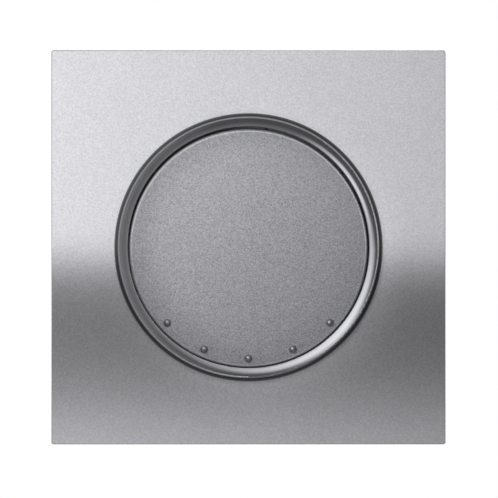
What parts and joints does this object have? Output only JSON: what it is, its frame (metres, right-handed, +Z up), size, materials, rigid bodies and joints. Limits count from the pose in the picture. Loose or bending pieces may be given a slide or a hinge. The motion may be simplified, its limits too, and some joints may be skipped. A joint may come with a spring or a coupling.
{
  "type": "rocker light switch",
  "caption": "Flush-mounted rocker light switch: square satin steel plate, glossy dark trim ring, round grey rocker with tactile dots, and a changeover insert behind.",
  "frame": {"origin": "centre of the switch on the wall's surface, midway between the wall-box screws", "axes": "-Y out of the wall towards the user, +X to the user's right, +Z up"},
  "size_m": [0.0808, 0.0379, 0.0808],
  "materials": {
    "stainless": "fine satin ground",
    "trim_gloss": "polished",
    "rocker_lacquer": "silver-grey metallic lacquer",
    "carrier_plastic": "fine spark-eroded grain",
    "zinc_steel": "zinc plated",
    "housing_plastic": "moulded, light grey",
    "cover_plastic": "moulded, grey",
    "yoke_plastic": "moulded, natural",
    "button_plastic": "moulded, dark grey",
    "terminal_brass": "stamped strip",
    "contact_silver": "silver alloy",
    "spring_steel": "bright drawn"
  },
  "bodies": {
    "switch_body": {"cover_plate": "stainless", "trim_ring": "trim_gloss", "plate_carrier": "carrier_plastic", "support_ring": "zinc_steel", "housing_cover": "cover_plastic", "housing_rivets": "zinc_steel", "base_housing": "housing_plastic", "insulating_plate": "cover_plastic", "upper_terminal": "terminal_brass", "lower_terminal": "terminal_brass", "common_terminal": "terminal_brass", "fixed_contacts": "contact_silver", "claw_pivot_pins": "spring_steel", "clamp_springs_upper_right": "spring_steel", "clamp_springs_upper_left": "spring_steel", "clamp_springs_lower_right": "spring_steel", "clamp_springs_lower_left": "spring_steel"},
    "rocker": {"rocker_cap": "rocker_lacquer", "rocker_yoke": "yoke_plastic", "plunger": "yoke_plastic", "plunger_spring": "spring_steel"},
    "contact_lever": {"contact_lever": "terminal_brass", "moving_contacts": "contact_silver"},
    "release_upper_right": {"release_button_upper_right": "button_plastic"},
    "release_upper_left": {"release_button_upper_left": "button_plastic"},
    "release_lower_right": {"release_button_lower_right": "button_plastic"},
    "release_lower_left": {"release_button_lower_left": "button_plastic"},
    "claw_right": {"claw_right": "zinc_steel"},
    "claw_screw_right": {"claw_screw_right": "zinc_steel"},
    "claw_nut_right": {"claw_nut_right": "zinc_steel"},
    "claw_left": {"claw_left": "zinc_steel"},
    "claw_screw_left": {"claw_screw_left": "zinc_steel"},
    "claw_nut_left": {"claw_nut_left": "zinc_steel"}
  },
  "joints": [
    {"name": "rocker_tilt", "type": "hinge", "parent": "switch_body", "child": "rocker", "pos_m": [0, -0.0076, 0], "axis": [1, 0, 0], "range_deg": [-7, 0]},
    {"name": "contact_flip", "type": "hinge", "parent": "switch_body", "child": "contact_lever", "pos_m": [0, 0.0075, 0], "axis": [1, 0, 0], "range_deg": [0, 12]},
    {"name": "release_upper_right_press", "type": "slide", "parent": "switch_body", "child": "release_upper_right", "axis": [0, -1, 0], "range_m": [0, 0.0012], "stiffness_N_per_m": 200, "deforming": ["clamp_springs_upper_right"]},
    {"name": "release_upper_left_press", "type": "slide", "parent": "switch_body", "child": "release_upper_left", "axis": [0, -1, 0], "range_m": [0, 0.0012], "stiffness_N_per_m": 200, "deforming": ["clamp_springs_upper_left"]},
    {"name": "release_lower_right_press", "type": "slide", "parent": "switch_body", "child": "release_lower_right", "axis": [0, -1, 0], "range_m": [0, 0.0012], "stiffness_N_per_m": 200, "deforming": ["clamp_springs_lower_right"]},
    {"name": "release_lower_left_press", "type": "slide", "parent": "switch_body", "child": "release_lower_left", "axis": [0, -1, 0], "range_m": [0, 0.0012], "stiffness_N_per_m": 200, "deforming": ["clamp_springs_lower_left"]},
    {"name": "claw_screw_right_turn", "type": "hinge", "parent": "switch_body", "child": "claw_screw_right", "pos_m": [0.022, 0, 0], "axis": [0, 1, 0], "range_deg": [0, 420]},
    {"name": "claw_nut_right_draw", "type": "slide", "parent": "switch_body", "child": "claw_nut_right", "axis": [0, -1, 0], "range_m": [0, 0.00059]},
    {"name": "claw_right_spread", "type": "hinge", "parent": "switch_body", "child": "claw_right", "pos_m": [0.017, 0.0055, 0], "axis": [0, 0, -1], "range_deg": [0, 15]},
    {"name": "claw_screw_left_turn", "type": "hinge", "parent": "switch_body", "child": "claw_screw_left", "pos_m": [-0.022, 0, 0], "axis": [0, 1, 0], "range_deg": [0, 420]},
    {"name": "claw_nut_left_draw", "type": "slide", "parent": "switch_body", "child": "claw_nut_left", "axis": [0, -1, 0], "range_m": [0, 0.00059]},
    {"name": "claw_left_spread", "type": "hinge", "parent": "switch_body", "child": "claw_left", "pos_m": [-0.017, 0.0055, 0], "axis": [0, 0, 1], "range_deg": [0, 15]}
  ],
  "couplings": [
    {"joint": "contact_flip", "follows": "rocker_tilt", "ratio": -1.7143},
    {"joint": "claw_screw_right_turn", "follows": "claw_right_spread", "ratio": 28},
    {"joint": "claw_nut_right_draw", "follows": "claw_right_spread", "m_per_rad": 0.002228},
    {"joint": "claw_screw_left_turn", "follows": "claw_left_spread", "ratio": 28},
    {"joint": "claw_nut_left_draw", "follows": "claw_left_spread", "m_per_rad": 0.002228}
  ]
}
